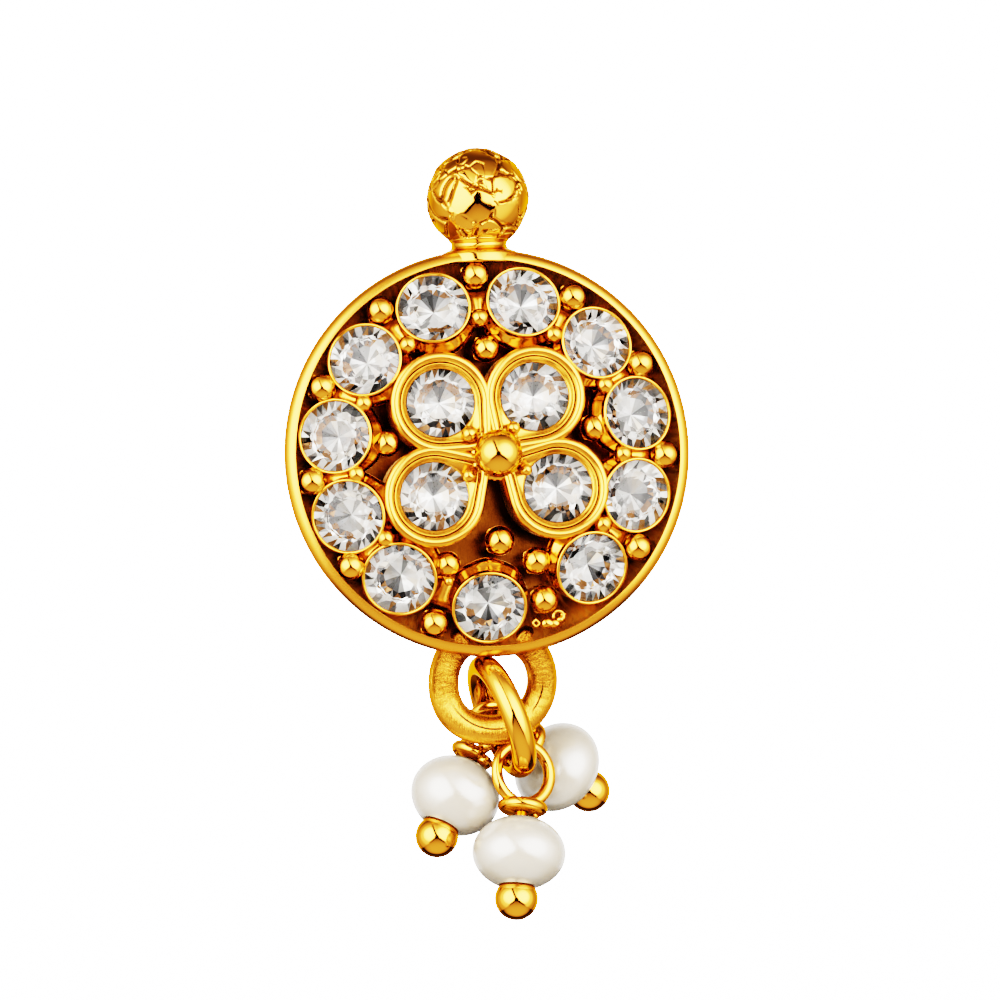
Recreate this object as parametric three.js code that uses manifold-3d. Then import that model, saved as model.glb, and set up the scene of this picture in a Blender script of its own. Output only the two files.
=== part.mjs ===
// A nose pin: a shallow round gold cup crowded with glass stones, beads and wire petals, a gold ball
// on top, and three pearl drops that share one ring below. Millimetres.
// Every piece is modelled facing the viewer: x to the right, y up, z out of the back plate toward the
// viewer. The whole pin is turned at the end, so that it faces -Y with +Z up and its back lies on y = 0.
import * as THREE from 'three';
import Module from 'manifold-3d';
import { mergeVertices } from 'three/addons/utils/BufferGeometryUtils.js';

// Cup and post
const DISC_RADIUS = 6.0;
const PLATE_THICKNESS = 0.5;
const RIM_HEIGHT = 2.0;
const RIM_WALL = 0.34;
const RIM_SIDES = 64;
const POST_RADIUS = 0.4;
const POST_LENGTH = 6.5;
const ROOT = 0.1; // how far a soldered piece runs into what carries it

// Stones and the room around them
const OUTER_STONE_RADIUS = 1.05;
const PETAL_STONE_RADIUS = 1.02;
const STONE_CLEARANCE = 0.05;
const CROWN_HEIGHT = 0.28;
const GIRDLE_HEIGHT = 0.06;
const PAVILION_DEPTH = 0.72;
const TABLE_SHARE = 0.6;
const STONE_SIDES = 12;

// Ring of outer stones in tilted collets
const OUTER_PITCH_RADIUS = 4.64;
const OUTER_GIRDLE_HEIGHT = 1.95;
const OUTER_TILT = 20;
const COLLET_WALL = 0.09;
const COLLET_LIP = 0.1; // how far the lip stands above the girdle
const COLLET_FOOT_RADIUS = 0.82;
const COLLET_SIDES = 16;

// Granules
const OUTER_GRANULE_RADIUS = 0.4;
const OUTER_GRANULE_PITCH = 5.36;
const INSET_GRANULE_PITCH = 4.73;
const OUTER_GRANULE_HEIGHT = 1.75;
const SMALL_GRANULE_RADIUS = 0.23;
const SMALL_GRANULE_PITCH = 4.05;
const SMALL_GRANULE_HEIGHT = 2.1;
const INNER_GRANULE_HEIGHT = 1.9;
const GRANULE_STEM_SHARE = 0.62;
const ROOT_GRANULE_HEIGHT = 2.45;
const GRANULE_SIDES = 8;

// Petal cups and the ball between them
const PETAL_RADIUS = 1.53;
const PETAL_WIRE = 0.3;
const PETAL_HEIGHT = 2.45;
const PETAL_GROOVE = 0.22;
const PETAL_POINT_SHARE = 1.4; // the point's distance as a share of the round end's radius
const BEZEL_WALL = 0.16;
const CENTRE_BALL_RADIUS = 0.72;
const CENTRE_BALL_HEIGHT = 2.72;
const CENTRE_COLLAR_RADIUS = 0.82;
const CENTRE_X = 0.2;
const CENTRE_Y = -0.05;

// Top ball, neck and half loop, all in one plane behind the rim
const MIDDLE_PLANE = 0.97;
const TOP_BALL_RADIUS = 1.52;
const TOP_BALL_RISE = 1.62; // from the disc's edge to the ball's centre
const NECK_RADIUS = 0.82;
const NECK_WAIST_RADIUS = 0.62;
const HALF_LOOP_RADIUS = 1.47;
const HALF_LOOP_WIRE_RADIUS = 0.46;
const HALF_LOOP_DROP = 0.84; // from the disc's edge to the loop's centre

// Jump ring, hung in the half loop
const JUMP_RING_RADIUS = 1.59;
const JUMP_RING_WIRE_RADIUS = 0.375;
const JUMP_RING_SHIFT = 0.155; // sideways, as a share of the half loop's radius
const JUMP_RING_FALL = 0.75; // downward, as a share of the half loop's radius
const JUMP_RING_HANG = { lean: -18.9, depth: 2.3, turn: -82.6 };

// Drop pins and pearls, in each pin's own line from the loop down
const PIN_WIRE_RADIUS = 0.18;
const PIN_LOOP_RADIUS = 0.915;
const WRAP_RADIUS = 0.54;
const WRAP_DROP = 1.13;
const WRAP_TILT = 8;
const PEARL_RADIUS = 1.41;
const PEARL_HALF_HEIGHT = 1.08;
const PEARL_DROP = 2.42;
const BEAD_BORE_CLEARANCE = 0.05;
const END_BALL_RADIUS = 0.65;
const END_BALL_DROP = 3.86;

// Places. Angles are degrees anticlockwise from the right, as the viewer sees the face.
// outer and small say whether a granule of that kind stands between this stone and the next.
const OUTER_STONES = [
  { angle: 109.2, outer: 'rim', small: 1 },
  { angle: 75.1, outer: 'rim', small: 1 },
  { angle: 43.5, outer: 'rim', small: 1 },
  { angle: 13.0, outer: 'rim', small: 1 },
  { angle: -17.8, outer: 'rim', small: 1 },
  { angle: -49.9, outer: 'inset', small: 0 },
  { angle: -91.8, outer: 'rim', small: 0.5 },
  { angle: -127.4, outer: 'rim', small: 1 },
  { angle: -157.5, outer: 'rim', small: 1 },
  { angle: -187.8, outer: 'rim', small: 1 },
  { angle: -218.4, outer: 'rim', small: 1 },
];
const PETALS = [
  { name: 'upper_left', x: -1.44, y: 1.52 },
  { name: 'upper_right', x: 1.41, y: 1.63 },
  { name: 'lower_right', x: 2.02, y: -1.14 },
  { name: 'lower_left', x: -1.72, y: -1.27 },
];
const INNER_GRANULES = [
  { angle: 89.4, pitch: 3.12, radius: 0.42 },
  { angle: 11.5, pitch: 3.29, radius: 0.42 },
  { angle: -84.7, pitch: 2.66, radius: 0.45 },
  { angle: -112.3, pitch: 3.57, radius: 0.39 },
  { angle: -67.8, pitch: 3.55, radius: 0.42 },
  { angle: 172.9, pitch: 3.08, radius: 0.42 },
];
const ROOT_GRANULES = [
  { x: -0.62, y: 0.56, radius: 0.25 },
  { x: 0.72, y: 0.7, radius: 0.2 },
  { x: 1.05, y: -0.56, radius: 0.18 },
  { x: -0.68, y: -0.68, radius: 0.21 },
];
// hung: where on the jump ring, in degrees from its lowest point toward the viewer.
// along, across and aside: the loop's place about the ring's wire, as shares of the loop's slack.
const DROPS = [
  { name: 'left', hung: -85.4, along: -0.246, across: -0.342, aside: 0.137, lean: 28.5, depth: 16.7, turn: -68.5 },
  { name: 'right', hung: -78.1, along: 0.046, across: 0.88, aside: 0.049, lean: -52.8, depth: -23.0, turn: -43.0 },
  { name: 'middle', hung: -11.3, along: -0.581, across: 0.604, aside: -0.08, lean: 6.9, depth: 13.7, turn: 22.0 },
];

// Finishes
const gold = new THREE.MeshStandardMaterial({ color: 0xe6a72e, roughness: 0.22, metalness: 1 });
const glass = new THREE.MeshStandardMaterial({ color: 0xe9e6df, roughness: 0.05, metalness: 0.1 });
const pearl = new THREE.MeshStandardMaterial({ color: 0xf3ede2, roughness: 0.3, metalness: 0 });

const wasm = await Module();
wasm.setup();
const { degToRad, radToDeg } = THREE.MathUtils;

// Joins like corners, drops triangles that have lost their area and turns every face outward.
function closedGeometry(source) {
  const bare = source.clone();
  bare.deleteAttribute('normal');
  bare.deleteAttribute('uv');
  const merged = mergeVertices(bare, 1e-5);
  const corners = merged.index.array;
  const kept = [];
  let volume = 0;
  const [a, b, c] = [new THREE.Vector3(), new THREE.Vector3(), new THREE.Vector3()];
  for (let i = 0; i < corners.length; i += 3) {
    const [p, q, r] = corners.slice(i, i + 3);
    if (p === q || q === r || r === p) continue;
    kept.push(p, q, r);
    a.fromBufferAttribute(merged.attributes.position, p);
    b.fromBufferAttribute(merged.attributes.position, q);
    c.fromBufferAttribute(merged.attributes.position, r);
    volume += a.dot(b.cross(c));
  }
  merged.setIndex(volume < 0 ? kept.reverse() : kept);
  return merged;
}

function solidOf(source, matrix = new THREE.Matrix4()) {
  const geometry = closedGeometry(source.clone().applyMatrix4(matrix));
  return new wasm.Manifold(new wasm.Mesh({
    numProp: 3,
    vertProperties: new Float32Array(geometry.attributes.position.array),
    triVerts: new Uint32Array(geometry.index.array),
  }));
}

function geometryOf(solid) {
  const mesh = solid.getMesh();
  const geometry = new THREE.BufferGeometry();
  geometry.setAttribute('position', new THREE.BufferAttribute(new Float32Array(mesh.vertProperties), 3));
  geometry.setIndex(new THREE.BufferAttribute(new Uint32Array(mesh.triVerts), 1));
  return geometry;
}

const joined = (solids) => solids.reduce((whole, next) => whole.add(next));
const cutFrom = (solid, tools) => tools.reduce((whole, tool) => whole.subtract(tool), solid);

// A turned piece from rows of [radius, height], standing along y.
function turned(rows, sides) {
  return new THREE.LatheGeometry(rows.map(([radius, height]) => new THREE.Vector2(radius, height)), sides);
}

// The same turned piece standing along z, out of the plate.
const standing = (rows, sides) => turned(rows, sides).rotateX(Math.PI / 2);
const placed = (x, y, z = 0) => new THREE.Matrix4().makeTranslation(x, y, z);

function onCircle(angle, radius) {
  return { x: radius * Math.cos(degToRad(angle)), y: radius * Math.sin(degToRad(angle)) };
}

function cup() {
  const lip = RIM_WALL / 2;
  const rows = [[0, 0], [DISC_RADIUS, 0]];
  for (const step of [0, 45, 90, 135, 180]) {
    const turn = degToRad(step);
    rows.push([DISC_RADIUS - lip + lip * Math.cos(turn), RIM_HEIGHT - lip + lip * Math.sin(turn)]);
  }
  rows.push([DISC_RADIUS - RIM_WALL, PLATE_THICKNESS], [0, PLATE_THICKNESS]);
  return solidOf(standing(rows, RIM_SIDES));
}

function post() {
  const tip = POST_RADIUS * 0.5;
  return solidOf(standing([
    [0, -POST_LENGTH],
    [tip, -POST_LENGTH],
    [POST_RADIUS, tip - POST_LENGTH],
    [POST_RADIUS, ROOT],
    [0, ROOT],
  ], 16));
}

// The place of an outer stone: its girdle's middle at the origin, its table toward +z.
function outerSeat(angle) {
  return new THREE.Matrix4().makeRotationZ(degToRad(angle))
    .multiply(placed(OUTER_PITCH_RADIUS, 0, OUTER_GIRDLE_HEIGHT))
    .multiply(new THREE.Matrix4().makeRotationY(degToRad(OUTER_TILT)));
}

function petalSeat({ x, y }) {
  return placed(x, y, PETAL_HEIGHT - GIRDLE_HEIGHT - CROWN_HEIGHT / 2);
}

function cutStone(radius) {
  return closedGeometry(standing([
    [0, -PAVILION_DEPTH],
    [radius, -GIRDLE_HEIGHT / 2],
    [radius, GIRDLE_HEIGHT / 2],
    [radius * TABLE_SHARE, CROWN_HEIGHT],
    [0, CROWN_HEIGHT],
  ], STONE_SIDES));
}

// The room that a stone lies in, open toward +z.
function stonePocket(radius, matrix) {
  const wide = radius + STONE_CLEARANCE;
  return solidOf(standing([
    [0, -PAVILION_DEPTH - STONE_CLEARANCE * 2],
    [wide, -GIRDLE_HEIGHT / 2 - STONE_CLEARANCE],
    [wide, CROWN_HEIGHT * 2],
    [0, CROWN_HEIGHT * 2],
  ], COLLET_SIDES), matrix);
}

// A thin-lipped cup that narrows toward the floor of the disc.
function collet(matrix) {
  const top = OUTER_STONE_RADIUS + STONE_CLEARANCE + COLLET_WALL;
  const foot = (PLATE_THICKNESS - OUTER_GIRDLE_HEIGHT) / Math.cos(degToRad(OUTER_TILT));
  return solidOf(standing([
    [0, foot],
    [COLLET_FOOT_RADIUS, foot],
    [top, -PAVILION_DEPTH * 0.5],
    [top, COLLET_LIP],
    [0, COLLET_LIP],
  ], COLLET_SIDES), matrix);
}

// Rows of a ball's outside from one slope to another, in degrees above its middle.
function ballRows(radius, height, from, to, steps) {
  return Array.from({ length: steps + 1 }, (_, i) => {
    const slope = degToRad(from + (to - from) * (i / steps));
    const reach = i === steps && Math.abs(to) === 90 ? 0 : radius * Math.cos(slope);
    return [reach, height + radius * Math.sin(slope)];
  });
}

// A ball on a short stem that stands on the floor of the cup.
function granule(x, y, height, radius) {
  const stem = radius * GRANULE_STEM_SHARE;
  const foot = radToDeg(Math.acos(GRANULE_STEM_SHARE));
  return solidOf(standing([
    [0, PLATE_THICKNESS - ROOT],
    [stem, PLATE_THICKNESS - ROOT],
    ...ballRows(radius, height, -foot, 90, 4),
  ], GRANULE_SIDES), placed(x, y));
}

function granules() {
  const balls = [];
  OUTER_STONES.forEach((stone, i) => {
    const last = i === OUTER_STONES.length - 1;
    const next = last ? OUTER_STONES[0].angle - 360 : OUTER_STONES[i + 1].angle;
    const between = (stone.angle + next) / 2;
    const pitch = stone.outer === 'inset' ? INSET_GRANULE_PITCH : OUTER_GRANULE_PITCH;
    const large = onCircle(between, pitch);
    balls.push(granule(large.x, large.y, OUTER_GRANULE_HEIGHT, OUTER_GRANULE_RADIUS));
    if (stone.small > 0) {
      const small = onCircle(between, SMALL_GRANULE_PITCH);
      balls.push(granule(small.x, small.y, SMALL_GRANULE_HEIGHT, SMALL_GRANULE_RADIUS * stone.small));
    }
  });
  for (const { angle, pitch, radius } of INNER_GRANULES) {
    const { x, y } = onCircle(angle, pitch);
    balls.push(granule(x, y, INNER_GRANULE_HEIGHT, radius));
  }
  for (const { x, y, radius } of ROOT_GRANULES) {
    balls.push(granule(x, y, ROOT_GRANULE_HEIGHT, radius));
  }
  return balls;
}

// A teardrop outline: a round end about the origin and two straight sides that meet on +x.
function teardrop(radius) {
  const point = radius * PETAL_POINT_SHARE;
  const touch = Math.acos(radius / point);
  const outline = new THREE.Shape();
  outline.moveTo(point, 0);
  outline.lineTo(radius * Math.cos(touch), radius * Math.sin(touch));
  outline.absarc(0, 0, radius, touch, 2 * Math.PI - touch, false);
  outline.closePath();
  return outline;
}

function teardropSolid(radius, from, to, { x, y }) {
  const block = new THREE.ExtrudeGeometry(teardrop(radius), {
    depth: to - from, bevelEnabled: false, curveSegments: 14,
  });
  const aim = Math.atan2(CENTRE_Y - y, CENTRE_X - x);
  return solidOf(block, placed(x, y, from).multiply(new THREE.Matrix4().makeRotationZ(aim)));
}

const petalWall = (petal) => teardropSolid(PETAL_RADIUS, PLATE_THICKNESS - ROOT, PETAL_HEIGHT, petal);

// The bezel stands in the groove between the petal's wire and its stone.
function petalGroove(petal) {
  const groove = teardropSolid(PETAL_RADIUS - PETAL_WIRE, PETAL_HEIGHT - PETAL_GROOVE, RIM_HEIGHT * 2, petal);
  const outside = PETAL_STONE_RADIUS + STONE_CLEARANCE + BEZEL_WALL;
  const bezel = solidOf(standing([[0, 0], [outside, 0], [outside, PETAL_HEIGHT], [0, PETAL_HEIGHT]],
    COLLET_SIDES), placed(petal.x, petal.y));
  return groove.subtract(bezel);
}

function centreBall() {
  const sink = CENTRE_BALL_RADIUS * 0.55;
  const stem = solidOf(standing([
    [0, PLATE_THICKNESS - ROOT],
    [CENTRE_COLLAR_RADIUS, PLATE_THICKNESS - ROOT],
    [CENTRE_COLLAR_RADIUS, CENTRE_BALL_HEIGHT - sink],
    [0, CENTRE_BALL_HEIGHT - sink],
  ], 16), placed(CENTRE_X, CENTRE_Y));
  return stem.add(solidOf(new THREE.SphereGeometry(CENTRE_BALL_RADIUS, 16, 10).rotateX(Math.PI / 2),
    placed(CENTRE_X, CENTRE_Y, CENTRE_BALL_HEIGHT)));
}

function topBall() {
  const centre = DISC_RADIUS + TOP_BALL_RISE;
  const seat = centre - TOP_BALL_RADIUS * 0.75;
  const waist = (DISC_RADIUS + seat) / 2;
  const neck = solidOf(turned([
    [0, DISC_RADIUS - RIM_WALL],
    [NECK_RADIUS, DISC_RADIUS - RIM_WALL],
    [NECK_RADIUS, DISC_RADIUS],
    [NECK_WAIST_RADIUS, waist],
    [NECK_RADIUS, seat],
    [0, seat],
  ], 16), placed(0, 0, MIDDLE_PLANE));
  return neck.add(solidOf(new THREE.SphereGeometry(TOP_BALL_RADIUS, 20, 14), placed(0, centre, MIDDLE_PLANE)));
}

// The half loop is a ring whose upper part is cut away where the cup stands.
function halfLoop() {
  const whole = solidOf(new THREE.TorusGeometry(HALF_LOOP_RADIUS, HALF_LOOP_WIRE_RADIUS, 8, 28),
    placed(0, -DISC_RADIUS - HALF_LOOP_DROP, MIDDLE_PLANE));
  const inside = DISC_RADIUS - RIM_WALL / 2;
  const room = standing([[0, 0], [inside, 0], [inside, RIM_HEIGHT], [0, RIM_HEIGHT]], RIM_SIDES);
  return whole.subtract(solidOf(room));
}

// All the soldered metal is one piece. The grooves and the stones' pockets are cut last.
function settingHead() {
  const outerSeats = OUTER_STONES.map(({ angle }) => outerSeat(angle));
  const body = joined([
    cup(), post(), topBall(), halfLoop(), centreBall(),
    ...outerSeats.map(collet),
    ...PETALS.map(petalWall),
  ]);
  const grooved = cutFrom(body, PETALS.map(petalGroove));
  const pockets = [
    ...outerSeats.map((seat) => stonePocket(OUTER_STONE_RADIUS, seat)),
    ...PETALS.map((petal) => stonePocket(PETAL_STONE_RADIUS, petalSeat(petal))),
  ];
  return cutFrom(joined([grooved, ...granules()]), pockets);
}

// The frame of a hanging piece: y runs up its length, x across its loop.
// lean tips its top to the right, depth tips its top away from the viewer, turn spins it about itself.
function hangingFrame({ lean, depth, turn }) {
  const [tip, back, spin] = [degToRad(lean), degToRad(depth), degToRad(turn)];
  const up = new THREE.Vector3(Math.sin(tip) * Math.cos(back), Math.cos(tip) * Math.cos(back), -Math.sin(back));
  const level = new THREE.Vector3(Math.cos(tip), -Math.sin(tip), 0);
  const rest = new THREE.Vector3().crossVectors(up, level);
  const across = level.multiplyScalar(Math.cos(spin)).addScaledVector(rest, Math.sin(spin));
  return { across, up, aside: new THREE.Vector3().crossVectors(across, up) };
}

function frameMatrix({ across, up, aside }, place) {
  return new THREE.Matrix4().makeBasis(across, up, aside).setPosition(place);
}

const ringFrame = hangingFrame(JUMP_RING_HANG);
const ringCentre = new THREE.Vector3(
  JUMP_RING_SHIFT * HALF_LOOP_RADIUS,
  -DISC_RADIUS - HALF_LOOP_DROP - JUMP_RING_FALL * HALF_LOOP_RADIUS,
  MIDDLE_PLANE,
);

// Where a drop's loop has its centre: about a point of the jump ring, within the loop's slack.
function dropPlace(drop) {
  const frame = hangingFrame(drop);
  const slack = PIN_LOOP_RADIUS - PIN_WIRE_RADIUS - JUMP_RING_WIRE_RADIUS;
  const around = degToRad(drop.hung);
  const place = ringCentre.clone()
    .addScaledVector(ringFrame.up, -JUMP_RING_RADIUS * Math.cos(around))
    .addScaledVector(ringFrame.across, JUMP_RING_RADIUS * Math.sin(around))
    .addScaledVector(frame.up, drop.along * slack)
    .addScaledVector(frame.across, drop.across * slack)
    .addScaledVector(frame.aside, drop.aside * slack);
  return frameMatrix(frame, place);
}

// A loop, its stem with one turn of wire round it, and the ball that keeps the pearl on.
function dropPin() {
  const brow = radToDeg(Math.acos(PIN_WIRE_RADIUS / END_BALL_RADIUS));
  const stem = turned([
    [0, -PIN_LOOP_RADIUS],
    [PIN_WIRE_RADIUS, -PIN_LOOP_RADIUS],
    [PIN_WIRE_RADIUS, PIN_WIRE_RADIUS / 2 - WRAP_DROP],
    [WRAP_RADIUS, -WRAP_DROP],
    [PIN_WIRE_RADIUS, -PIN_WIRE_RADIUS / 2 - WRAP_DROP],
    ...ballRows(END_BALL_RADIUS, -END_BALL_DROP, brow, -90, 5),
  ], 10);
  const wrap = new THREE.TorusGeometry(WRAP_RADIUS, PIN_WIRE_RADIUS, 6, 12)
    .rotateX(Math.PI / 2).rotateZ(degToRad(WRAP_TILT));
  return joined([
    solidOf(new THREE.TorusGeometry(PIN_LOOP_RADIUS, PIN_WIRE_RADIUS, 6, 16)),
    solidOf(stem),
    solidOf(wrap, placed(0, -WRAP_DROP)),
  ]);
}

const pearlHeightAt = (radius) => PEARL_HALF_HEIGHT * Math.sqrt(1 - (radius / PEARL_RADIUS) ** 2);

// The pearl's mouth, a hollow that clears the end ball, measured from the pearl's middle.
function mouthHeightAt(radius) {
  const hollow = END_BALL_RADIUS + BEAD_BORE_CLEARANCE;
  return Math.sqrt(hollow ** 2 - radius ** 2) - (END_BALL_DROP - PEARL_DROP);
}

// The radius at which the mouth meets the pearl's outside, found by halving.
function mouthBrim(bore) {
  let inner = bore;
  let outer = END_BALL_RADIUS + BEAD_BORE_CLEARANCE;
  for (let i = 0; i < 30; i += 1) {
    const middle = (inner + outer) / 2;
    if (mouthHeightAt(middle) > -pearlHeightAt(middle)) inner = middle;
    else outer = middle;
  }
  return inner;
}

// A flattened round bead, bored for the pin, with a mouth below that the pin's end ball lies in.
function pearlBead() {
  const bore = PIN_WIRE_RADIUS + BEAD_BORE_CLEARANCE;
  const brim = mouthBrim(bore);
  const rows = [bore, (bore + brim) / 2, brim].map((radius) => [radius, mouthHeightAt(radius)]);
  const foot = Math.asin(-rows[2][1] / PEARL_HALF_HEIGHT);
  const crown = Math.asin(pearlHeightAt(bore) / PEARL_HALF_HEIGHT);
  const steps = 8;
  for (let i = 1; i <= steps; i += 1) {
    const slope = -foot + (foot + crown) * (i / steps);
    rows.push([PEARL_RADIUS * Math.cos(slope), PEARL_HALF_HEIGHT * Math.sin(slope)]);
  }
  rows.push(rows[0]);
  return closedGeometry(turned(rows, 16));
}

function named(name, geometry, material, matrix = new THREE.Matrix4()) {
  const mesh = new THREE.Mesh(geometry, material);
  mesh.name = name;
  mesh.applyMatrix4(matrix);
  return mesh;
}

const pin = new THREE.Group();
pin.rotateX(Math.PI / 2);
pin.add(named('setting_head', geometryOf(settingHead()), gold));
OUTER_STONES.forEach(({ angle }, i) => {
  const number = String(i + 1).padStart(2, '0');
  pin.add(named(`outer_stone_${number}`, cutStone(OUTER_STONE_RADIUS), glass, outerSeat(angle)));
});
for (const petal of PETALS) {
  pin.add(named(`petal_stone_${petal.name}`, cutStone(PETAL_STONE_RADIUS), glass, petalSeat(petal)));
}
pin.add(named('jump_ring', closedGeometry(new THREE.TorusGeometry(JUMP_RING_RADIUS, JUMP_RING_WIRE_RADIUS, 6, 16)),
  gold, frameMatrix(ringFrame, ringCentre)));
for (const drop of DROPS) {
  const place = dropPlace(drop);
  pin.add(named(`drop_pin_${drop.name}`, geometryOf(dropPin()), gold, place));
  pin.add(named(`pearl_${drop.name}`, pearlBead(), pearl, place.clone().multiply(placed(0, -PEARL_DROP))));
}

const group = new THREE.Group();
group.add(pin);

export default group;
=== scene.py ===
"""A gold nose pin: a rimmed cup crowded with cut stones, granules and wire petals, a crinkled ball on
top and three pearl drops on one ring below. Shapes are made in millimetres as the viewer sees the
face, with x to the right, y up and z out of the back plate, and are turned into the frame at the end."""

import math
import random

import bpy
import numpy as np
from mathutils import Matrix, Vector, noise


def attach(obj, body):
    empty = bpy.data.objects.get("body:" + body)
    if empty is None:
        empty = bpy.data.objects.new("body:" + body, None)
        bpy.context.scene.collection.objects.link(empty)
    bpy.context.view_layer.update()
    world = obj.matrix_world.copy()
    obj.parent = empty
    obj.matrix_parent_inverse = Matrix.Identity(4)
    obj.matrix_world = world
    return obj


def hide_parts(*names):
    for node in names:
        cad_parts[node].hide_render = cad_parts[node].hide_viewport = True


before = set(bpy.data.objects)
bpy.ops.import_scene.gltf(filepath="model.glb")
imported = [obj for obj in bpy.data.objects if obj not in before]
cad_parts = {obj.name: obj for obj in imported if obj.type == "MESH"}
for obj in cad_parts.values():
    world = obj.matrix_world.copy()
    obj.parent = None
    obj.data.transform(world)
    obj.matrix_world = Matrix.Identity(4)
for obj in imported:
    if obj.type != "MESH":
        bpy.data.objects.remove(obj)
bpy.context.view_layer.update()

# Cup, rim and post
DISC_RADIUS = 6.0
PLATE_THICKNESS = 0.5
RIM_HEIGHT = 2.0
LIP_WIDTH = 0.315
LIP_LEAN = 12  # how steeply the lip leaves its inner edge, growing to upright at the outer one
LIP_OVERHANG = 0.13  # how far the lip stands out past the wall
POST_RADIUS = 0.4
POST_LENGTH = 6.5

# Stones
OUTER_STONE_RADIUS = 1.05
PETAL_STONE_RADIUS = 1.02
CROWN_HEIGHT = 0.28
GIRDLE_HEIGHT = 0.06
PAVILION_DEPTH = 0.72
TABLE_SHARE = 0.58

# Collets round the rim
OUTER_PITCH_RADIUS = 4.64
OUTER_GIRDLE_HEIGHT = 1.95
OUTER_TILT = 20
COLLET_LIP_RADIUS = 1.145
COLLET_BELLY_RADIUS = 1.2
COLLET_FLARE = 0.17  # how much further the wall spreads on the side toward the middle
COLLET_LIP_HEIGHT = 0.1

# Solder between collets
BRIDGE_SAG = 0.1

# Granules
OUTER_GRANULE_RADIUS = 0.43
OUTER_GRANULE_PITCH = 5.36
INSET_GRANULE_PITCH = 4.73
OUTER_GRANULE_HEIGHT = 1.75
SMALL_GRANULE_RADIUS = 0.28
SMALL_GRANULE_PITCH = 4.05
SMALL_GRANULE_HEIGHT = 2.1
INNER_GRANULE_HEIGHT = 1.9
ROOT_GRANULE_HEIGHT = 2.45

# Petals and centre
PETAL_RADIUS = 1.53
PETAL_HEIGHT = 2.45
PETAL_POINT_SHARE = 1.4
CENTRE_BALL_RADIUS = 0.72
CENTRE_BALL_HEIGHT = 2.72
CENTRE_COLLAR_RADIUS = 0.82
CENTRE = (0.2, -0.05)

# Top ball, neck and half loop
MIDDLE_PLANE = 0.97
TOP_BALL_RADIUS = 1.54
TOP_BALL_X = 0.04
TOP_BALL_Y = 7.7
NECK_RADIUS = 0.93
NECK_WAIST_RADIUS = 0.83
HALF_LOOP_RADIUS = 1.47
HALF_LOOP_WIRE = 0.46
HALF_LOOP_Y = -6.84

# Jump ring and drops
JUMP_RING_RADIUS = 1.59
JUMP_RING_WIRE = 0.375
JUMP_RING_PLACE = (0.155 * HALF_LOOP_RADIUS, HALF_LOOP_Y - 0.75 * HALF_LOOP_RADIUS, MIDDLE_PLANE)
JUMP_RING_HANG = dict(lean=-18.9, depth=2.3, turn=-82.6)
PIN_WIRE = 0.18
PIN_LOOP_RADIUS = 0.915
WRAP_DROP = 1.13
PEARL_DROP = 2.45
BORE_CLEARANCE = 0.05
END_BALL_RADIUS = 0.65
END_BALL_DROP = 3.86

# angle of each outer stone, the kind of large granule after it, and the size of the small one
OUTER_STONES = [
    dict(angle=109.2, outer="rim", small=1.0),
    dict(angle=75.1, outer="rim", small=1.0),
    dict(angle=43.5, outer="rim", small=1.0),
    dict(angle=13.0, outer="rim", small=1.0),
    dict(angle=-17.8, outer="rim", small=1.0),
    dict(angle=-49.9, outer="inset", small=0.0),
    dict(angle=-91.8, outer="rim", small=0.5),
    dict(angle=-127.4, outer="rim", small=1.0),
    dict(angle=-157.5, outer="rim", small=1.0),
    dict(angle=-187.8, outer="rim", small=1.0),
    dict(angle=-218.4, outer="rim", small=1.0),
]
PETALS = [
    dict(name="upper_left", x=-1.44, y=1.52),
    dict(name="upper_right", x=1.41, y=1.63),
    dict(name="lower_right", x=2.02, y=-1.14),
    dict(name="lower_left", x=-1.72, y=-1.27),
]
INNER_GRANULES = [
    dict(angle=89.4, pitch=3.12, radius=0.42),
    dict(angle=11.5, pitch=3.29, radius=0.42),
    dict(angle=-84.7, pitch=2.66, radius=0.45),
    dict(angle=-112.3, pitch=3.57, radius=0.39),
    dict(angle=-67.8, pitch=3.55, radius=0.42),
    dict(angle=172.9, pitch=3.08, radius=0.42),
]
ROOT_GRANULES = [
    dict(x=-0.62, y=0.56, radius=0.25),
    dict(x=0.72, y=0.7, radius=0.2),
    dict(x=1.05, y=-0.56, radius=0.18),
    dict(x=-0.68, y=-0.68, radius=0.21),
]
# place of each lobe of the solder lump, its half width and half height
SOLDER_LOBES = [(1.62, -5.18, 0.2, 0.12), (1.83, -5.2, 0.19, 0.13), (2.02, -5.08, 0.15, 0.15),
                (2.1, -4.93, 0.12, 0.14)]
# girth and tall are the radius across and half the height of each drop's pearl, wrap the radius of the turn
# of wire above it, and wound the angles between which that turn runs
DROPS = [
    dict(name="left", hung=-85.4, along=-0.246, across=-0.342, aside=0.137, lean=28.5, depth=16.7, turn=-68.5,
         girth=1.37, tall=1.18, wrap=0.54, wound=(20, 350)),
    dict(name="right", hung=-78.1, along=0.046, across=0.88, aside=0.049, lean=-52.8, depth=-23.0, turn=-43.0,
         girth=1.43, tall=1.15, wrap=0.62, wound=(-100, 355)),
    dict(name="middle", hung=-11.3, along=-0.581, across=0.604, aside=-0.08, lean=6.9, depth=13.7, turn=22.0,
         girth=1.41, tall=1.12, wrap=0.62, wound=(-100, 355)),
]

# Millimetres as the viewer sees the face, into metres in the frame: the face looks along -Y.
FACE = Matrix(((0.001, 0, 0, 0), (0, 0, -0.001, 0), (0, 0.001, 0, 0), (0, 0, 0, 1)))
chance = random.Random(7)
noise.seed_set(7)  # or else the top ball's crinkles change from run to run


# Shape tools

def moved(x=0.0, y=0.0, z=0.0):
    return Matrix.Translation((x, y, z))


def turned_by(degrees, axis):
    return Matrix.Rotation(math.radians(degrees), 4, axis)


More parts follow.
